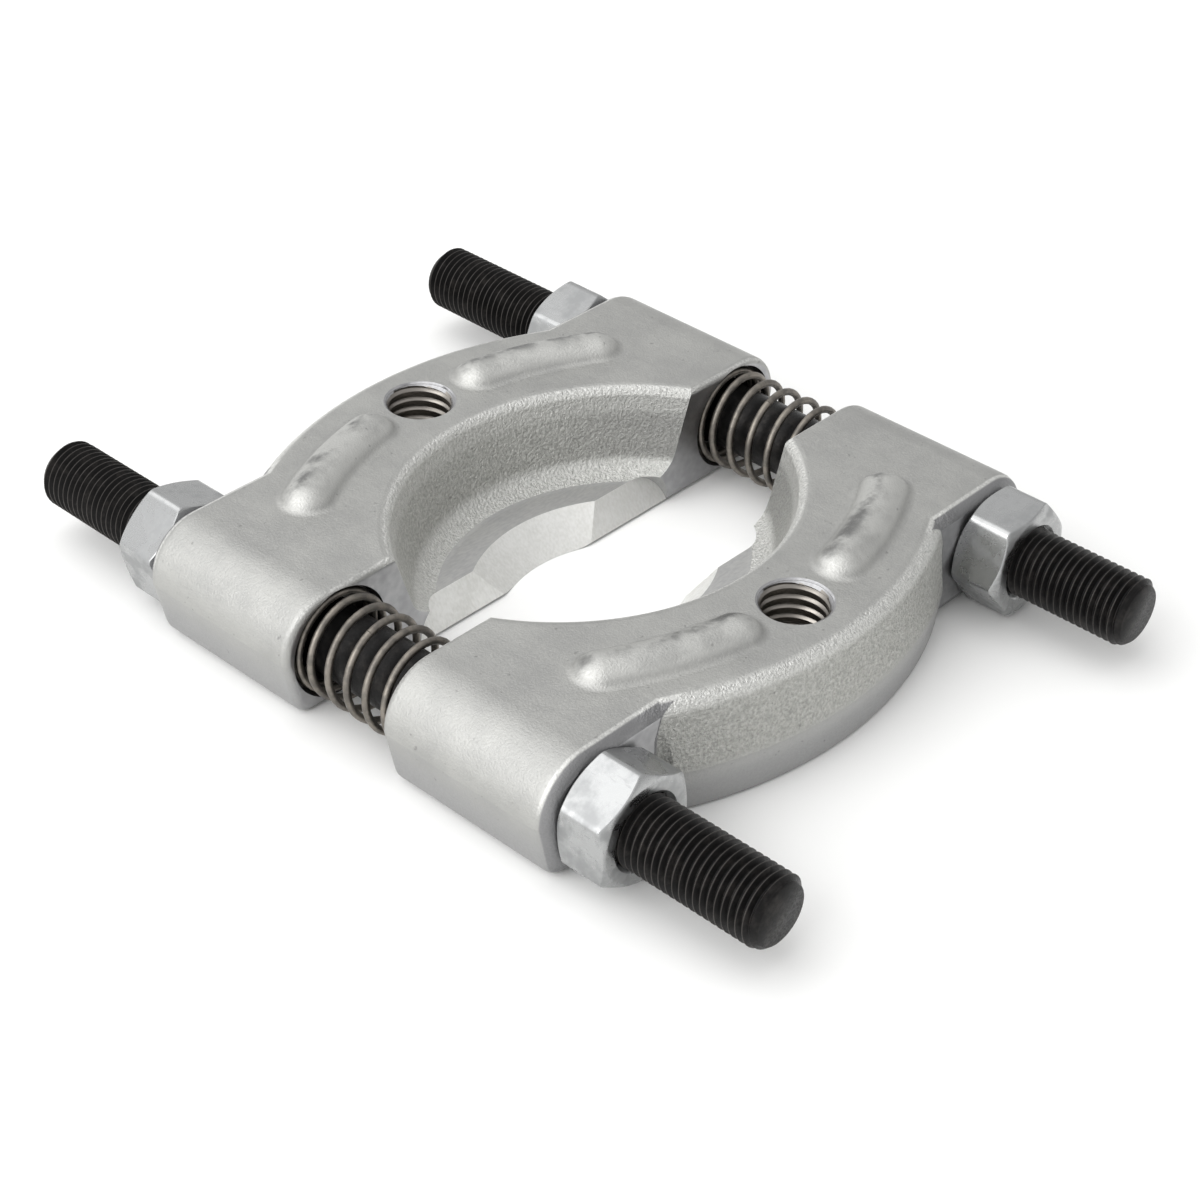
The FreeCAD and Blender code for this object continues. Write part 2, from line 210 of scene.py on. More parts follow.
@dataclass(frozen=True)
class NodeWeb:
    """The shader nodes of one material."""

    material: Material
    shader: bpy.types.Node

    def add(self, kind: str, inputs: Optional[dict[Any, Any]] = None, **settings: Any) -> Any:
        """Add a node to this material and give its outputs."""
        return add_node(self.material.node_tree, kind, inputs, **settings).outputs

    def feed(self, name: str, value: Socket) -> None:
        """Link a value to an input of the shader."""
        self.material.node_tree.links.new(value, self.shader.inputs[name])

    def place(self) -> Socket:
        """Coordinates that stay with the piece as it moves, in metres."""
        return self.add("ShaderNodeTexCoord")["Object"]

    def noise(
        self,
        size_mm: float,
        detail: float = 2.0,
        rough: float = 0.5,
        stretch: Point = (1.0, 1.0, 1.0),
    ) -> Socket:
        """Random pattern of a real size.

        Args:
            size_mm: Width of one feature.
            detail: Number of finer layers.
            rough: Strength of the finer layers.
            stretch: Scale along each axis; under one draws the pattern out.

        Returns:
            The pattern's value, about a half on average.
        """
        mapped = self.add("ShaderNodeMapping", {"Vector": self.place(), "Scale": stretch})
        inputs = {
            "Vector": mapped["Vector"],
            "Scale": per_metre(size_mm),
            "Detail": detail,
            "Roughness": rough,
        }
        return self.add("ShaderNodeTexNoise", inputs)["Fac"]

    def remap(
        self, value: Socket, low: float, high: float, to_low: float, to_high: float
    ) -> Socket:
        """Stretch a value from one span to another, eased and held at the ends.

        Args:
            value: What is stretched.
            low: Start of the first span.
            high: End of the first span.
            to_low: Result at the start.
            to_high: Result at the end.

        Returns:
            The stretched value.
        """
        inputs = {0: value, 1: low, 2: high, 3: to_low, 4: to_high}
        return self.add("ShaderNodeMapRange", inputs, interpolation_type="SMOOTHSTEP")[0]

    def rise(self, value: Socket, low: float, high: float) -> Socket:
        """Share that eases from nought at low to one at high."""
        return self.remap(value, low, high, 0.0, 1.0)

    def fall(self, value: Socket, low: float, high: float) -> Socket:
        """Share that eases from one at low to nought at high."""
        return self.remap(value, low, high, 1.0, 0.0)

    def math(self, operation: str, first: Any, second: Any = 0.0) -> Socket:
        """Combine two values with one arithmetic step."""
        return self.add("ShaderNodeMath", {0: first, 1: second}, operation=operation)[0]

    def rest(self, share: Socket) -> Socket:
        """What a share leaves of one."""
        return self.math("SUBTRACT", 1.0, share)

    def product(self, *values: Any) -> Socket:
        """Multiply several sockets or numbers together.

        Args:
            *values: What is multiplied, a socket first.

        Returns:
            The product.
        """
        made = values[0]
        for value in values[1:]:
            made = self.math("MULTIPLY", made, value)
        return made

    def tint(self, share: Socket, low: Any, high: Any) -> Socket:
        """Colour that runs from one end to the other with a share.

        Args:
            share: How far the colour has run.
            low: Colour at nought, as a hex colour or a socket.
            high: Colour at one, as a hex colour or a socket.

        Returns:
            The mixed colour.
        """
        ends = [linear(end) if isinstance(end, str) else end for end in (low, high)]
        return self.add("ShaderNodeMix", {0: share, 6: ends[0], 7: ends[1]}, data_type="RGBA")[2]

    def bump(self, height: Socket, depth_mm: float) -> None:
        """Raise the surface by a pattern of a real depth.

        Args:
            height: The pattern.
            depth_mm: Height of the surface where the pattern is one.
        """
        inputs = {"Height": height, "Distance": depth_mm * MM, "Strength": 1.0}
        self.feed("Normal", self.add("ShaderNodeBump", inputs)["Normal"])


@dataclass(frozen=True)
class Finish:
    """A metal surface whose subclass adds its own pattern."""

    name: str
    colour: str
    roughness: float
    metallic: float = 1.0

    def start(self) -> NodeWeb:
        """Make the material with a bare shader.

        Returns:
            The nodes of the material.
        """
        material = bpy.data.materials.new(self.name)
        material.use_nodes = True
        tree = material.node_tree
        tree.nodes.clear()
        inputs = {
            "Base Color": linear(self.colour),
            "Roughness": self.roughness,
            "Metallic": self.metallic,
        }
        shader = add_node(tree, "ShaderNodeBsdfPrincipled", inputs)
        add_node(tree, "ShaderNodeOutputMaterial", {"Surface": shader.outputs["BSDF"]})
        return NodeWeb(material, shader)


@dataclass(frozen=True)
class ForgedZincSteel(Finish):
    """Drop-forged steel, shot blasted and zinc coated.

    It gives a satin silver skin: fine grain on the level faces and the lugs, a coarse
    sandy grain on the arch walls above the parting line of the die, rubbed rims lightened by
    a painted highlight where those walls meet the top, a painted highlight at the foot and
    painted shade at the far end of the walls of the opening, and glossier rib crests
    darkened by a painted reflection.
    """

    cloudy: str = "#b6b6b3"
    pits: str = "#a6a6a2"
    peaks: str = "#cfcfcb"
    foot: str = "#c6c6c3"
    under: str = "#a8a8a8"
    faced_and_shade: str = "#919192"
    rubbed_and_highlight: str = "#e2e2df"
    painted_dark_grey: str = "#7a7a79"
    pinhole: str = "#4c4b49"
    grain_mm: float = 0.45
    wall_grain_mm: float = 0.6
    cloud_mm: float = 10.0
    streak_mm: float = 1.4
    pinhole_mm: float = 1.3
    crest_patch_mm: float = 7.0
    relief_mm: float = 0.6
    parting_line_mm: float = 9.5
    arch_half_mm: float = 45.0
    rim_mm: float = 18.0
    top_mm: float = 24.0
    rib_mm: float = 3.0
    gap_middle_mm: float = -2.9
    seat_mm: float = 52.0
    seat_round_mm: float = 3.0

    def make(self) -> Material:
        """Build the material.

        Returns:
            The finished material.
        """
        web = self.start()
        # Shot blasting leaves dimples of 0.2 mm, drawn about twice as wide so that they show.
        fine = web.noise(self.grain_mm, 3.0, 0.65)
        coarse = web.noise(self.wall_grain_mm, 3.0, 0.62)
        zones = self.zones(web)
        web.feed("Base Color", self.skin(web, fine, coarse, zones))
        grainy = web.remap(fine, 0.3, 0.7, self.roughness - 0.07, self.roughness + 0.08)
        duller = web.product(zones["wall"], 0.06)
        glossier = web.product(zones["crest"], 0.16)
        rough = web.math("ADD", grainy, web.math("SUBTRACT", duller, glossier))
        web.feed("Roughness", rough)
        sandy = web.math("MAXIMUM", zones["wall"], zones["rim"])
        sandy = web.math("MAXIMUM", sandy, zones["hollow"])
        dimples = web.product(fine, 0.2)
        relief = web.math("ADD", dimples, web.product(coarse, sandy))
        web.bump(relief, self.relief_mm)
        return web.material

    def zones(self, web: NodeWeb) -> dict[str, Socket]:
        """Find the parts of the forging by height, place and slope.

        Heights and places are in metres, and a slope is the upward part of the normal.

        Args:
            web: Nodes of the material.

        Returns:
            Shares from nought to one, by the name of the part.
        """
        normal = web.add("ShaderNodeNewGeometry")["Normal"]
        facing_x, facing_y, slope = web.add("ShaderNodeSeparateXYZ", {0: normal})
        x, y, height = web.add("ShaderNodeSeparateXYZ", {0: web.place()})
        half, line, rim = self.arch_half_mm * MM, self.parting_line_mm * MM, self.rim_mm * MM
        top, crest = self.top_mm * MM, (self.top_mm + self.rib_mm) * MM
        seat, bend = self.seat_mm * MM, self.seat_round_mm * MM
        on_arch = web.fall(web.math("ABSOLUTE", x), half - 0.003, half + 0.001)
        off_arch = web.rest(on_arch)
        above = web.remap(height, line - 0.001, line + 0.002, 0.1, 1.0)
        steep = web.fall(slope, 0.3, 0.95)
        low_band = web.fall(height, line - 0.002, line + 0.001)
        high = web.rise(height, rim, rim + 0.002)
        no_rib = web.fall(height, top - 0.00012, top - 0.00002)
        # The walls of the opening face the middle of the tool, the outer walls away from it.
        out = web.math("SUBTRACT", y, self.gap_middle_mm * MM)
        sideways = web.product(x, facing_x)
        outward = web.math("ADD", sideways, web.product(out, facing_y))
        inward = web.fall(outward, -0.004, -0.001)
        # Painted highlight on the upward-leaning foot of the opening's walls.
        hollow = web.rise(slope, 0.36, 0.75)
        # Painted shade that grows towards the far end of the opening's walls, along x.
        far_end = web.remap(x, 0.008, 0.04, 0.0, 0.55)
        # Rounded edges lean between the walls and the level faces.
        lean = web.rise(slope, 0.1, 0.5)
        rounded = web.product(lean, web.fall(slope, 0.86, 0.995))
        endways = web.math("ABSOLUTE", facing_y)
        edge = web.product(rounded, web.rise(slope, 0.4, 0.7), web.rise(endways, 0.25, 0.6))
        away = web.math("ABSOLUTE", out)
        near_seat = web.product(
            web.rise(away, seat - bend - 0.0001, seat - bend + 0.0001),
            web.fall(away, seat + 0.00005, seat + 0.0002),
        )
        # Painted highlight: a thin lighter line across the seat's rounding stands in for the
        # glint of a crisp edge.
        thin_line = web.product(web.rise(endways, 0.2, 0.34), web.fall(endways, 0.42, 0.56))
        # Patches that break up the painted dark reflection on the rib crests.
        patchy = web.remap(web.noise(self.crest_patch_mm, 5.0, 0.6), 0.42, 0.62, 0.0, 0.95)
        near_crest = web.rise(height, crest - 0.0022, crest - 0.0005)
        rearward = web.remap(facing_y, -0.1, 0.3, 0.3, 1.0)
        sandy = web.math("MAXIMUM", above, inward)
        return {
            "wall": web.product(on_arch, sandy, steep, no_rib),
            # The smooth band below the parting line on the outer walls, lightened as a painted
            # highlight.
            "foot": web.product(on_arch, low_band, web.rest(inward)),
            "shade": web.product(on_arch, inward, far_end, steep, no_rib),
            "hollow": web.product(on_arch, inward, hollow, web.rest(high)),
            "rim": web.product(high, rounded, on_arch, no_rib),
            "edge": web.product(edge, off_arch, web.rest(near_seat)),
            "crest": web.product(near_crest, patchy, rearward),
            # Painted highlight that lightens the ribs towards their tops.
            "rib": web.remap(height, top + 0.0005, top + 0.0018, 0.0, 0.85),
            "under": web.product(
                web.fall(slope, -0.04, 0.02),
                web.remap(height, line - 0.005, line + 0.003, 1.0, 0.25),
            ),
            # The endward part of the seat's rounding takes a dark milled colour, partly painted
            # shade that makes a crisp edge.
            "faced_and_shade": web.product(near_seat, web.rise(endways, 0.42, 0.56), no_rib),
            "line": web.product(near_seat, thin_line, lean, no_rib),
        }

    def skin(
        self,
        web: NodeWeb,
        fine: Socket,
        coarse: Socket,
        zones: dict[str, Socket],
    ) -> Socket:
        """Lay the colours of each part of the forging over one another.

        Args:
            web: Nodes of the material.
            fine: Fine grain.
            coarse: Sandy grain.
            zones: Shares of the forging's parts.

        Returns:
            The colour of the skin.
        """
        cloud = web.product(web.noise(self.cloud_mm, 4.0, 0.6), 0.45)
        streaks = web.noise(self.streak_mm, 3.0, 0.6, (1.0, 0.15, 1.0))
        streak = web.product(streaks, 0.15)
        grain = web.product(fine, 0.4)
        mottled = web.math("ADD", web.math("ADD", cloud, streak), grain)
        base = web.tint(web.rise(mottled, 0.36, 0.64), self.colour, self.cloudy)
        grit = web.rise(coarse, 0.25, 0.78)
        speck = web.remap(fine, 0.36, 0.64, 0.45, 0.9)
        pinholes = web.remap(web.noise(self.pinhole_mm, 1.0, 0.5), 0.74, 0.79, 0.0, 0.3)
        layers = (
            (zones["wall"], web.tint(grit, self.pits, self.peaks)),
            # Smooth band below the parting line, lightened as a painted highlight.
            (zones["foot"], self.foot),
            # Painted shade on the far end of the opening's walls.
            (zones["shade"], self.painted_dark_grey),
            # Painted highlight at the foot of the opening's walls, over the sandy grain.
            (zones["hollow"], web.tint(grit, self.foot, self.rubbed_and_highlight)),
            (zones["under"], self.under),
            # Painted highlight on the ribs.
            (zones["rib"], self.foot),
            # Rims and rounded edges: rubbed wear, lightened further as a painted highlight.
            (web.product(zones["rim"], speck), self.rubbed_and_highlight),
            (web.product(zones["edge"], speck, speck), self.rubbed_and_highlight),
            # Dark milled colour on the seat's rounding, partly painted shade.
            (zones["faced_and_shade"], self.faced_and_shade),
            # Painted highlight along the seat's rounding.
            (web.product(zones["line"], speck), self.rubbed_and_highlight),
            # Painted dark reflection on the rearward side of the rib crests, in patches.
            (zones["crest"], self.painted_dark_grey),
            (pinholes, self.pinhole),
        )
        for share, colour in layers:
            base = web.tint(share, base, colour)
        return base


@dataclass(frozen=True)
class MilledZincSteel(Finish):
    """Milled and zinc coated steel.

    It gives a smooth, brighter grey with faint cutter lines and soft cloudy streaks.
    """

    line_mm: float = 0.5
    cloud_mm: float = 9.0
    streak: Point = (1.0, 1.0, 0.06)
    bright: str = "#c6c6c4"
    depth_mm: float = 0.006

    def make(self) -> Material:
        """Build the material.

        Returns:
            The finished material.
        """
        web = self.start()
        lines = web.noise(self.line_mm, 2.0, 0.5, self.streak)
        cloud = web.noise(self.cloud_mm, 3.0, 0.6)
        halves = (web.product(pattern, 0.5) for pattern in (lines, cloud))
        mixed = web.math("ADD", *halves)
        base = web.tint(web.rise(mixed, 0.32, 0.68), self.colour, self.bright)
        web.feed("Base Color", base)
        rough = web.remap(mixed, 0.3, 0.7, self.roughness + 0.06, self.roughness - 0.05)
        web.feed("Roughness", rough)
        web.bump(lines, self.depth_mm)
        return web.material


@dataclass(frozen=True)
class BrightZincPlate(Finish):
    """Zinc electroplate over a cold-formed nut.

    It gives a bright, slightly blue white metal with fine scratches from handling.
    """

    scratch: str = "#8f9091"
    scratch_mm: float = 0.35
    cloud_mm: float = 5.0
    relief_mm: float = 0.008

    def make(self) -> Material:
        """Build the material.

        Returns:
            The finished material.
        """
        web = self.start()
        cloud = web.noise(self.cloud_mm, 4.0, 0.6)
        # Scratches of 0.05 mm, drawn 0.35 mm wide so that they show.
        across = web.noise(self.scratch_mm, 2.0, 0.6, (0.5, 0.12, 0.6))
        marks = web.remap(across, 0.60, 0.74, 0.0, 0.35)
        dull = web.remap(cloud, 0.40, 0.66, 0.0, 0.6)
        patchy = web.math("MAXIMUM", marks, dull)
        web.feed("Base Color", web.tint(patchy, self.colour, self.scratch))
        rough = web.remap(patchy, 0.0, 0.7, self.roughness, self.roughness + 0.2)
        web.feed("Roughness", rough)
        web.bump(web.math("ADD", across, cloud), self.relief_mm)
        return web.material


@dataclass(frozen=True)
class BlackOxideSteel(Finish):
    """Alloy steel with an oiled black oxide skin.

    It gives a deep warm black with a low sheen, greyer where handling rubs, with thread crests
    lightened by rubbing and a painted highlight.
    """

    rubbed_and_highlight: str = "#4a4643"
    crest: str = "#625e5b"
    half_spacing_mm: float = 55.0
    axis_height_mm: float = 12.0
    crest_mm: float = 6.95
    patch_mm: float = 3.0
    fine_mm: float = 0.4
    relief_mm: float = 0.01

    def make(self) -> Material:
        """Build the material.

        Returns:
            The finished material.
        """
        web = self.start()
        patches = web.noise(self.patch_mm, 4.0, 0.65)
        fine = web.noise(self.fine_mm, 2.0, 0.6)
        share = web.remap(patches, 0.45, 0.75, 0.0, 0.35)
        base = web.tint(share, self.colour, self.rubbed_and_highlight)
        x, _, height = web.add("ShaderNodeSeparateXYZ", {0: web.place()})
        side = web.math("SUBTRACT", web.math("ABSOLUTE", x), self.half_spacing_mm * MM)
        rise = web.math("SUBTRACT", height, self.axis_height_mm * MM)
        squares = web.math("ADD", web.product(side, side), web.product(rise, rise))
        radius = web.math("SQRT", squares)
        # Thread crests lightened by rubbing and a painted highlight.
        outer = self.crest_mm * MM
        on_crest = web.remap(radius, outer - 0.0001, outer, 0.0, 0.35)
        web.feed("Base Color", web.tint(on_crest, base, self.crest))
        rough = web.remap(fine, 0.3, 0.7, self.roughness - 0.07, self.roughness + 0.09)
        web.feed("Roughness", rough)
        web.bump(fine, self.relief_mm)
        return web.material


@dataclass(frozen=True)
class DrawnSpringWire(Finish):
    """Hard-drawn spring wire, heat tinted.

    It gives a brownish grey metal with a soft sheen.
    """

    light: str = "#8c867e"
    patch_mm: float = 2.5
    fine_mm: float = 0.3
    relief_mm: float = 0.01

    def make(self) -> Material:
        """Build the material.

        Returns:
            The finished material.
        """
        web = self.start()
        patches = web.noise(self.patch_mm, 3.0, 0.6)
        base = web.tint(web.rise(patches, 0.35, 0.65), self.colour, self.light)
        web.feed("Base Color", base)
        fine = web.noise(self.fine_mm, 2.0, 0.5)
        rough = web.remap(fine, 0.3, 0.7, self.roughness - 0.06, self.roughness + 0.08)
        web.feed("Roughness", rough)
        web.bump(fine, self.relief_mm)
        return web.material


@dataclass(frozen=True)
class Palette:
    """Every finish of the tool, made once."""

    forged: Material
    milled: Material
    ground: Material
    bored: Material
    tapped: Material
    ledge: Material
    zinc: Material
    black: Material
    wire: Material

    @classmethod
    def make(cls) -> "Palette":
        """Build all the finishes.

        Returns:
            The palette.
        """
        return cls(
            forged=ForgedZincSteel("drop_forged_zinc_steel", "#a8a8a6", 0.5).make(),
            milled=MilledZincSteel(
                "milled_zinc_steel", "#a2a2a4", 0.38, streak=(0.3, 1.0, 0.3), bright="#b2b2b3"
            ).make(),
            ground=MilledZincSteel(
                "ground_zinc_bevel", "#e6e6e3", 0.6, bright="#f6f6f4", depth_mm=0.003
            ).make(),
            bored=MilledZincSteel("bored_steel", "#6f6e6c", 0.4, bright="#8b8a87").make(),
            tapped=MilledZincSteel(
                "tapped_steel", "#817d78", 0.32, streak=(0.1, 0.1, 1.0), bright="#a09b95"
            ).make(),
            ledge=MilledZincSteel(
                "milled_ledge", "#b4b4b4", 0.5, streak=(0.3, 1.0, 0.3), bright="#c6c6c4"
            ).make(),
            zinc=BrightZincPlate("bright_zinc_plate", "#b2b3b3", 0.25).make(),
            black=BlackOxideSteel("black_oxide_steel", "#141313", 0.4, metallic=0.7).make(),
            wire=DrawnSpringWire("drawn_spring_wire", "#6f6b66", 0.44).make(),
        )

    def for_jaw(self) -> list[Material]:
        """Materials of a jaw in the order of its regions."""
        return [self.forged, self.milled, self.ground, self.bored, self.tapped, self.ledge]


# Screw threads.


@dataclass(frozen=True)
class ScrewThread:
    """A right-hand thread, by its largest radius, depth and pitch in millimetres.

    Each corner of its profile is a share of a pitch and a share of the depth.
    """

    major: float
    depth: float
    pitch: float
    corners: tuple[tuple[float, float], ...] = (
        (0.0, 0.1),
        (0.03, 0.0),
        (0.11, 0.0),
        (0.14, 0.1),
        (0.46, 0.93),
        (0.51, 1.0),
        (0.59, 1.0),
        (0.64, 0.93),
    )

    def skin(
        self,
        start: float,
        end: float,
        limit: Callable[[float, float], float],
        segments: int,
    ) -> tuple[list[tuple[float, float, float]], list[list[int]]]:
        """Helical skin of the thread about an axis.

        Args:
            start: Lower end along the axis.
            end: Upper end along the axis.
            limit: Gives the radius from a place along the axis and the thread's own radius.
            segments: Number of steps round the axis.

        Returns:
            Points as (radius, angle, place along the axis), and the faces between them.
        """
        count = len(self.corners)
        turns = int((end - start) / self.pitch) + 3
        points: list[tuple[float, float, float]] = []
        for row in range(turns * count):
            share, sunk = self.corners[row % count]
            base = start + (row // count - 1 + share) * self.pitch
            radius = self.major - self.depth * sunk
            for step in range(segments):
                along = base + self.pitch * step / segments
                held = min(end, max(start, along))
                points.append((limit(held, radius), 2 * math.pi * step / segments, held))
        faces = []
        rows = turns * count
        for row in range(rows - 1):
            for step in range(segments):
                after = row if step < segments - 1 else row + count
                if after + 1 >= rows:
                    continue
                other = (step + 1) % segments
                faces.append(
                    [
                        row * segments + step,
                        after * segments + other,
                        (after + 1) * segments + other,
                        (row + 1) * segments + step,
                    ]
                )
        return points, faces


# Sub-assemblies.


@dataclass
class Stud:
    """A stud with a rolled thread at each end and a plain shank between the jaws."""

    side: Side
    shift: float
    spacing: float = 110.0
    length: float = 185.5
    radius: float = 7.0
    thread_depth: float = 0.9
    pitch: float = 1.5
    chamfer: float = 1.2
    shank_half: float = 26.0
    shank_radius: float = 6.82
    axis_height: float = 12.0
    segments: int = 40

    def limit(self, place: float, thread_radius: float) -> float:
        """Shape the stud along its length: plain shank, thread and end chamfers.

        Args:
            place: Distance along the stud from its middle.
            thread_radius: The thread's own radius there.

        Returns:
            The stud's radius there.
        """
        away = abs(place)
        fade = smoothstep(self.shank_half, self.shank_half + self.pitch, away)
        radius = self.shank_radius + (thread_radius - self.shank_radius) * fade
        cone = self.radius - max(0.0, away - (self.length / 2 - self.chamfer))
        return min(radius, cone)

    def build(self, palette: Palette) -> bpy.types.Object:
        """Make the stud and put it on its body.

        Args:
            palette: Finishes to dress it with.

        Returns:
            The stud.
        """
        name = f"stud_{self.side.name.lower()}"
        thread = ScrewThread(self.radius, self.thread_depth, self.pitch)
        half = self.length / 2
        rings, faces = thread.skin(-half, half, self.limit, self.segments)
        centre = self.side.value * self.spacing / 2
        points = [
            (
                centre + r * math.cos(a),
                self.shift + along,
                self.axis_height - r * math.sin(a),
            )
            for r, a, along in rings
        ]
        piece = piece_from(f"{name}_threaded", points, faces, 55.0, cap_holes=True)
        piece.data.materials.append(palette.black)
        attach(piece, "studs")
        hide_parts(name)
        report(piece, "rolled thread and plain shank")
        return piece


@dataclass
class HexNut:
    """A chamfered hexagon nut, 21 mm across its flats."""

    hand: Hand
    side: Side
    seat_y: float
    turn: float
    spacing: float = 110.0
    across_flats: float = 21.0
    across_corners: float = 23.8
    thickness: float = 11.0
    bore: float = 7.05
    countersink: float = 0.8
    axis_height: float = 12.0
    edge_round: float = 0.25
    face_share: float = 0.95
    chamfer_degrees: float = 30.0
    segments: int = 144

    def outline(self, angle: float) -> float:
        """Follow the hexagon, with its corners turned down.

        Args:
            angle: Angle about the nut's axis.

        Returns:
            The nut's outer radius at that angle.
        """
        sixth = math.pi / 3
        from_flat = (angle % sixth) - sixth / 2
        flat = self.across_flats / 2 / math.cos(sixth / 2 - abs(from_flat))
        return min(flat, self.across_corners / 2)

    def section(self, angle: float) -> list[tuple[float, float]]:
        """Section of the nut at an angle, from one face to the other.

        Args:
            angle: Angle about the nut's axis.

        Returns:
            Radius and height of each corner.
        """
        wide = self.outline(angle)
        face = self.across_flats / 2 * self.face_share
        rise = (wide - face) * math.tan(math.radians(self.chamfer_degrees))
        soft = self.edge_round
        half = [
            (self.bore, self.thickness / 2),
            (self.bore, self.countersink),
            (self.bore + self.countersink, 0.0),
            (face - soft, 0.0),
            (face + soft * 0.6, soft * 0.35),
            (wide - soft * 0.5, max(soft * 0.2, rise - soft * 0.4)),
            (wide, rise + soft * 0.5),
        ]
        return half + [(r, self.thickness - y) for r, y in reversed(half[1:])]

    def build(self, palette: Palette) -> bpy.types.Object:
        """Make the nut and put it on its body.

        Args:
            palette: Finishes to dress it with.

        Returns:
            The nut.
        """
        node = f"nut_{self.hand.name.lower()}_{self.side.name.lower()}"
        centre = self.side.value * self.spacing / 2
        offset = math.radians(self.turn)
        points: list[Point] = []
        for step in range(self.segments):
            angle = 2 * math.pi * step / self.segments
            for radius, height in self.section(angle):
                turned = angle + offset
                points.append(
                    (
                        centre + radius * math.cos(turned),
                        self.seat_y + self.hand.value * height,
                        self.axis_height + radius * math.sin(turned),
                    )
                )
        faces = ring_faces(self.segments, len(self.section(0.0)), closed=True)
        piece = piece_from(f"{node}_plated", points, faces, 24.0)
        piece.data.materials.append(palette.zinc)
        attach(piece, node)
        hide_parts(node)
        report(piece, "chamfered hexagon nut")
        return piece


@dataclass
class CoilSpring:
    """A compression spring round a stud, in two halves."""

    side: Side
    spacing: float = 110.0
    middle_y: float = -2.9
    length: float = 32.9
    wire: float = 1.5
    outer: float = 20.9
    turns: float = 8.6
    closed_turns: float = 0.7
    rear_easing: float = 2.6
    front_easing: float = 1.2
    closed_pitch: float = 1.1
    end_room: float = 1.02
    axis_height: float = 12.0
    stations: int = 40
    round_steps: int = 14

    def opening(self, turn: float) -> float:
        """Tell how far the coil has opened from its closed ends.

        Args:
            turn: Turns counted from the front end.

        Returns:
            Nought where the coil is closed, one where it is fully open.
        """
        front = smoothstep(0.0, self.front_easing, turn - self.closed_turns)
        rear = smoothstep(0.0, self.rear_easing, self.turns - turn - self.closed_turns)
        return min(front, rear)

    def heights(self) -> list[float]:
        """Climb the coil from its front end.

        Returns:
            Height of the wire's middle at each station.
        """
        closed = self.wire * self.closed_pitch
        run = self.length - self.wire * self.end_room
        steps = int(self.turns * self.stations)
        turn_step = self.turns / steps
        shares = [self.opening((i + 0.5) * turn_step) for i in range(steps)]
        opened = sum(shares) * turn_step
        extra = (run - closed * self.turns) / opened
        made = [0.0]
        for share in shares:
            made.append(made[-1] + (closed + extra * share) * turn_step)
        return made

    def centreline(self) -> list[Point]:
        """Follow the wire's middle in the row frame.

        Returns:
            Points in millimetres.
        """
        centre = self.side.value * self.spacing / 2
        radius = (self.outer - self.wire) / 2
        heights = self.heights()
        turn_step = self.turns / (len(heights) - 1)
        start = self.middle_y - (self.length - self.wire * self.end_room) / 2
        line = []
        for index, height in enumerate(heights):
            angle = 2 * math.pi * (index * turn_step - self.turns)
            line.append(
                (
                    centre + radius * math.cos(angle),
                    start + height,
                    self.axis_height - radius * math.sin(angle),
                )
            )
        return line

    def tube(self, name: str, line: Sequence[Point]) -> bpy.types.Object:
        """Sweep the round wire along a centreline.

        Args:
            name: Name of the piece.
            line: Points along the wire's middle.

        Returns:
            The swept wire, closed at both ends.
        """
        centre = Vector((self.side.value * self.spacing / 2, 0, self.axis_height))
        points: list[Point] = []
        for index, place in enumerate(line):
            here = Vector(place)
            ahead = Vector(line[min(index + 1, len(line) - 1)])
            behind = Vector(line[max(index - 1, 0)])
            along = (ahead - behind).normalized()
            outward = here - Vector((centre.x, here.y, centre.z))
            outward = (outward - along * outward.dot(along)).normalized()
            across = along.cross(outward)
            for step in range(self.round_steps):
                angle = 2 * math.pi * step / self.round_steps
                ring = outward * math.cos(angle) + across * math.sin(angle)
                points.append(tuple(here + ring * self.wire / 2))
        faces = ring_faces(len(line), self.round_steps)
        return piece_from(name, points, faces, 50.0, cap_holes=True)

    def build(self, palette: Palette) -> list[bpy.types.Object]:
        """Make both halves.

        Args:
            palette: Finishes to dress it with.

        Returns:
            The front half and the rear half.
        """
        node = f"spring_{self.side.name.lower()}"
        line = self.centreline()
        middle = len(line) // 2
        halves = (
            ("front", "jaw_front", line[: middle + 1], -1),
            ("rear", "jaw_rear", line[middle:], 1),
        )
        made = []
        for word, body, part, way in halves:
            piece = self.tube(f"{node}_{word}_half", part)
            piece.data.materials.append(palette.wire)
            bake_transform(piece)
            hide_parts(node)
            report(piece, "coil of spring wire")
            made.append(piece)
        return made


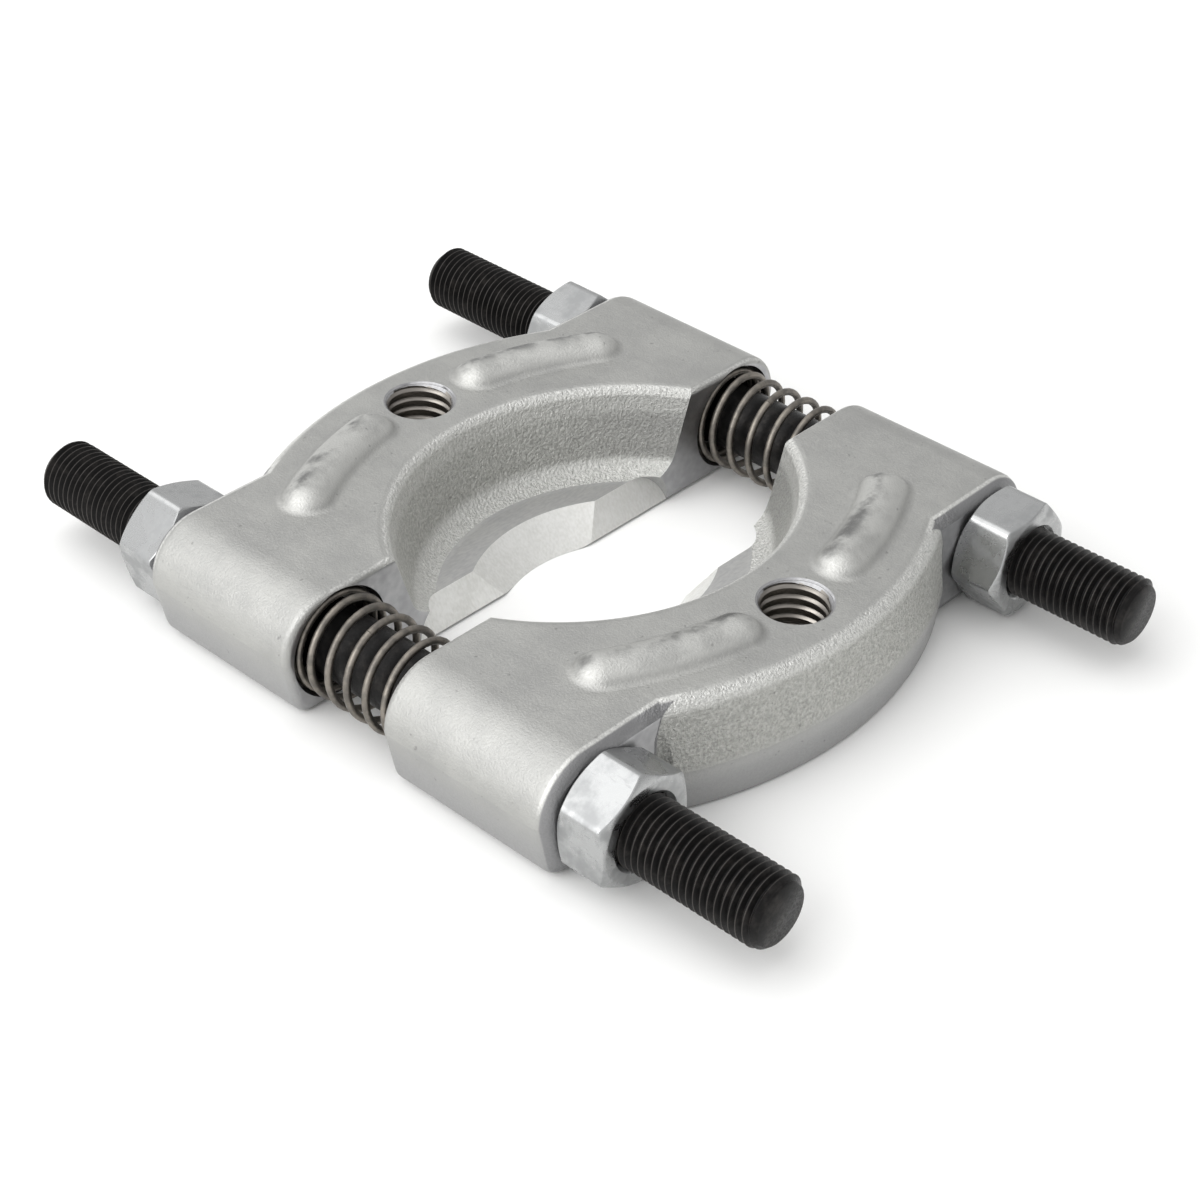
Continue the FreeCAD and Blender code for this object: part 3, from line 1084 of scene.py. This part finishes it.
@dataclass
class Jaw:
    """One forged jaw with its machined faces and its tapped hole."""

    hand: Hand
    parting_y: float
    depth: float = 39.5
    height: float = 24.0
    half_spacing: float = 55.0
    bore: float = 7.3
    pocket: float = 11.25
    pocket_depth: float = 4.0
    axis_height: float = 12.0
    hole_y: float = 36.3
    hole_radius: float = 6.0
    hole_rim: float = 7.3
    hole_major: float = 6.9
    hole_minor: float = 6.3
    hole_pitch: float = 2.2
    hole_room: float = 0.06
    countersink_depth: float = 0.72
    opening_setback: float = 24.0
    knife_radius: float = 26.8
    cone_top: float = 32.9
    lip: float = 6.7
    bevel_depth: float = 4.0

    def local(self, points: np.ndarray) -> np.ndarray:
        """Turn points of the row frame into the jaw's own frame.

        Args:
            points: Places in millimetres, one on each line.

        Returns:
            The same places from the middle of the parting face.
        """
        way = self.hand.value
        moved = points.copy()
        moved[:, 0] = points[:, 0] * way
        moved[:, 1] = (points[:, 1] - self.parting_y) * way
        return moved

    def regions(self, mesh: bpy.types.Mesh) -> np.ndarray:
        """Sort each face of the jaw by how it was made.

        Args:
            mesh: The jaw's mesh in the row frame.

        Returns:
            One region number for each face.
        """
        count = len(mesh.polygons)
        centres = np.zeros(count * 3)
        normals = np.zeros(count * 3)
        mesh.polygons.foreach_get("center", centres)
        mesh.polygons.foreach_get("normal", normals)
        place = self.local(centres.reshape(-1, 3) / MM)
        facing = normals.reshape(-1, 3).copy()
        facing[:, :2] *= self.hand.value
        x, y, z = place.T
        # Limits on the way a face points keep its neighbours' rounds out of a region.
        result = np.full(count, Region.FORGED.value)
        parting = (y < NEAR) & (facing[:, 1] < -0.9)
        seat = (y > self.depth - NEAR) & (y < self.depth + NEAR) & (facing[:, 1] > 0.99)
        result[parting | seat | (z < 0.02)] = Region.MILLED.value
        from_axis = np.hypot(x, y + self.opening_setback)
        on_cone = np.abs(
            from_axis - self.knife_radius - z * (self.cone_top - self.knife_radius) / self.lip
        )
        cone = (on_cone < 0.4) & (z > 0.01) & (z < self.lip)
        lean = math.hypot(self.bevel_depth, self.lip)
        from_flat = np.abs(y * self.lip - z * self.bevel_depth) / lean
        flat = (from_flat < 0.1) & (facing[:, 2] > 0.4) & (facing[:, 1] < -0.7)
        ledge = (np.abs(z - self.lip) < NEAR) & (facing[:, 2] > 0.99)
        result[cone | flat] = Region.GROUND.value
        result[ledge] = Region.LEDGE.value
        from_stud = np.hypot(np.abs(x) - self.half_spacing, z - self.axis_height)
        in_bore = from_stud < self.bore + NEAR
        in_pocket = (np.abs(from_stud - self.pocket) < 0.12) & (y < self.pocket_depth)
        on_floor = (np.abs(y - self.pocket_depth) < 0.02) & (from_stud < self.pocket)
        inside = (in_bore | in_pocket | on_floor) & (y > NEAR) & (y < self.depth - NEAR)
        result[inside] = Region.BORED.value
        from_hole = np.hypot(x, y - self.hole_y)
        result[from_hole < self.hole_rim - NEAR] = Region.MILLED.value
        result[from_hole < self.hole_radius + NEAR] = Region.TAPPED.value
        return result

    def forging(self, palette: Palette) -> bpy.types.Object:
        """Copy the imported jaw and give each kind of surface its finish.

        Args:
            palette: Finishes to dress it with.

        Returns:
            The dressed jaw.
        """
        node = f"jaw_{self.hand.name.lower()}"
        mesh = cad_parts[node].data.copy()
        mesh.name = f"{node}_forging"
        mesh.materials.clear()
        for material in palette.for_jaw():
            mesh.materials.append(material)
        mesh.polygons.foreach_set("material_index", self.regions(mesh).astype(np.int32))
        self.widen_hole(mesh)
        piece = bpy.data.objects.new(f"{node}_forging", mesh)
        bpy.context.scene.collection.objects.link(piece)
        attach(piece, node)
        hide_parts(node)
        report(piece, "forged and machined jaw")
        return piece

    def widen_hole(self, mesh: bpy.types.Mesh) -> None:
        """Set the leg hole's wall back, to leave room for the thread's grooves.

        The countersinks keep their slope and end where they meet the wider wall.

        Args:
            mesh: The jaw's mesh in the row frame.
        """
        room = self.hole_major + self.hole_room
        axis_y = self.parting_y + self.hand.value * self.hole_y
        for vertex in mesh.vertices:
            x, y, z = vertex.co / MM
            away = math.hypot(x, y - axis_y)
            if away < room:
                rise = (room - away) * (1 if z > self.height / 2 else -1)
                out = room / away
                vertex.co = Vector((x * out, axis_y + (y - axis_y) * out, z + rise)) * MM

    def tapped_hole(self, palette: Palette) -> bpy.types.Object:
        """Make the thread inside the leg hole.

        Args:
            palette: Finishes to dress it with.

        Returns:
            The thread's skin, which rides on the jaw.
        """
        node = f"jaw_{self.hand.name.lower()}"
        # The ridges are cut flat and broad, because the hole was drilled wide for its thread.
        groove = ((0.0, 0.1), (0.03, 0.0), (0.1, 0.0), (0.14, 0.1))
        ridge = ((0.3, 0.93), (0.34, 1.0), (0.5, 1.0), (0.65, 1.0), (0.8, 1.0), (0.84, 0.93))
        depth = self.hole_major - self.hole_minor
        thread = ScrewThread(self.hole_major, depth, self.hole_pitch, groove + ridge)

        def cone(place: float) -> float:
            """Radius of the nearer countersink at a height."""
            return self.hole_rim - min(place, self.height - place)

        def limit(place: float, thread_radius: float) -> float:
            """Cut the thread away where the countersinks are.

            Args:
                place: Height in the hole.
                thread_radius: The thread's own radius there.

            Returns:
                The radius that is left.
            """
            if min(place, self.height - place) < self.countersink_depth:
                return cone(place)
            return thread_radius

        low = self.hole_rim - self.hole_major - 0.02
        rings, faces = thread.skin(low, self.height - low, limit, 64)
        centre_y = self.parting_y + self.hand.value * self.hole_y
        points = [
            (r * math.cos(a), centre_y + r * math.sin(a), along) for r, a, along in rings
        ]
        turned = [list(reversed(f)) for f in faces]
        piece = piece_from(f"leg_thread_{self.hand.name.lower()}", points, turned, 60.0)
        piece.data.flip_normals()
        piece.data.materials.append(palette.tapped)
        piece.data.materials.append(palette.milled)
        for face in piece.data.polygons:
            from_face = min(face.center.z / MM, self.height - face.center.z / MM)
            face.material_index = 1 if from_face < self.countersink_depth else 0
        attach(piece, node)
        report(piece, "internal thread")
        return piece

    def build(self, palette: Palette) -> list[bpy.types.Object]:
        """Make every piece of the jaw.

        Args:
            palette: Finishes to dress it with.

        Returns:
            The forging and its tapped hole.
        """
        return [self.forging(palette), self.tapped_hole(palette)]


# Studio.


@dataclass(frozen=True)
class SoftBox:
    """A square soft light, in metres and watts."""

    name: str
    place: Point
    aim: Point
    size: float
    watts: float

    def build(self) -> bpy.types.Object:
        """Hang the light and turn it to its aim.

        Returns:
            The light.
        """
        data = bpy.data.lights.new(self.name, "AREA")
        data.shape = "SQUARE"
        data.size = self.size
        data.energy = self.watts
        lamp = bpy.data.objects.new(self.name, data)
        bpy.context.scene.collection.objects.link(lamp)
        lamp.location = self.place
        way = Vector(self.aim) - Vector(self.place)
        lamp.rotation_mode = "QUATERNION"
        lamp.rotation_quaternion = way.to_track_quat("-Z", "Y")
        return lamp


@dataclass
class Studio:
    """Pale floor, soft lights and the camera at the photograph's angle.

    The camera's distance and target are in millimetres, the floor's half width in metres.
    """

    azimuth: float = -47.755
    elevation: float = 35.912
    roll: float = 1.406
    distance: float = 498.857
    target: Point = (-0.033, -4.222, 0.0)
    lens: float = 76.564
    floor_half: float = 3.0
    floor_drop: float = 0.05
    floor_colour: str = "#f4f4f3"
    sky_colour: str = "#f3f3f3"
    ambient: tuple[float, float] = (1.14, 0.62)
    shade_side: Point = (0.75, -0.45, -0.48)
    boxes: tuple[SoftBox, ...] = (
        SoftBox("softbox_top", (-0.35, 0.45, 1.25), (0.0, 0.0, 0.0), 1.6, 8.0),
        SoftBox("softbox_left", (-1.25, 0.15, 0.68), (0.0, 0.0, 0.02), 1.3, 10.5),
    )

    def camera(self) -> bpy.types.Object:
        """Place the camera.

        Returns:
            The camera, made active.
        """
        turn, tilt, roll = (math.radians(a) for a in (self.azimuth, self.elevation, self.roll))
        back = Vector(
            (
                math.sin(turn) * math.cos(tilt),
                -math.cos(turn) * math.cos(tilt),
                math.sin(tilt),
            )
        )
        level = Vector((math.cos(turn), math.sin(turn), 0))
        upright = back.cross(level)
        right = level * math.cos(roll) + upright * math.sin(roll)
        up = back.cross(right)
        data = bpy.data.cameras.new("camera")
        data.sensor_width = 36.0
        data.lens = self.lens
        data.clip_start = 0.01
        data.clip_end = 50.0
        camera = bpy.data.objects.new("camera", data)
        bpy.context.scene.collection.objects.link(camera)
        place = (Vector(self.target) + back * self.distance) * MM
        basis = Matrix((right, up, back)).transposed().to_4x4()
        camera.matrix_world = Matrix.Translation(place) @ basis
        bpy.context.scene.camera = camera
        return camera

    def floor(self) -> bpy.types.Object:
        """Lay the pale floor.

        Returns:
            The floor.
        """
        half = self.floor_half / MM
        corners = ((-half, -half), (half, -half), (half, half), (-half, half))
        points = [(x, y, -self.floor_drop) for x, y in corners]
        piece = piece_from("floor", points, [[0, 1, 2, 3]])
        material = bpy.data.materials.new("white_painted_board")
        material.use_nodes = True
        shader = material.node_tree.nodes["Principled BSDF"]
        shader.inputs["Base Color"].default_value = linear(self.floor_colour)
        shader.inputs["Roughness"].default_value = 0.9
        shader.inputs["Specular IOR Level"].default_value = 0.1
        piece.data.materials.append(material)
        return piece

    def build(self) -> None:
        """Set the world, the lights, the floor and the camera."""
        scene = bpy.context.scene
        world = bpy.data.worlds.new("studio_air")
        scene.world = world
        world.use_nodes = True
        tree = world.node_tree
        sky = tree.nodes["Background"]
        sky.inputs[0].default_value = linear(self.sky_colour)
        way = add_node(tree, "ShaderNodeTexCoord").outputs["Generated"]
        turned = add_node(
            tree, "ShaderNodeVectorMath", {0: way, 1: self.shade_side}, operation="DOT_PRODUCT"
        ).outputs["Value"]
        bright, dim = self.ambient
        power = add_node(
            tree, "ShaderNodeMapRange", {0: turned, 1: -1.0, 2: 1.0, 3: bright, 4: dim}
        )
        tree.links.new(power.outputs[0], sky.inputs[1])
        scene.view_settings.view_transform = "Standard"
        for box in self.boxes:
            box.build()
        self.floor()
        self.camera()


@dataclass
class RaceRemover:
    """The whole tool, from its own sizes."""

    gap: float = 25.0
    gap_middle: float = -2.9
    lug_depth: float = 39.5
    shifts: tuple[float, float] = (-2.3, 2.3)
    nut_turns: tuple[float, float, float, float] = (45.0, 11.0, -3.0, 22.0)

    def build(self) -> None:
        """Make every sub-assembly in order."""
        palette = Palette.make()
        for side, shift in zip(Side, self.shifts):
            Stud(side, shift).build(palette)
            CoilSpring(side, middle_y=self.gap_middle).build(palette)
        turns = iter(self.nut_turns)
        for hand in Hand:
            parting = self.gap_middle + hand.value * self.gap / 2
            Jaw(hand, parting, depth=self.lug_depth).build(palette)
            for side in Side:
                seat = parting + hand.value * self.lug_depth
                HexNut(hand, side, seat, -next(turns)).build(palette)


def main() -> None:
    """Build the studio and the tool."""
    logging.basicConfig(level=logging.INFO, format="%(message)s")
    Studio().build()
    RaceRemover().build()


if __name__ == "__main__":
    main()
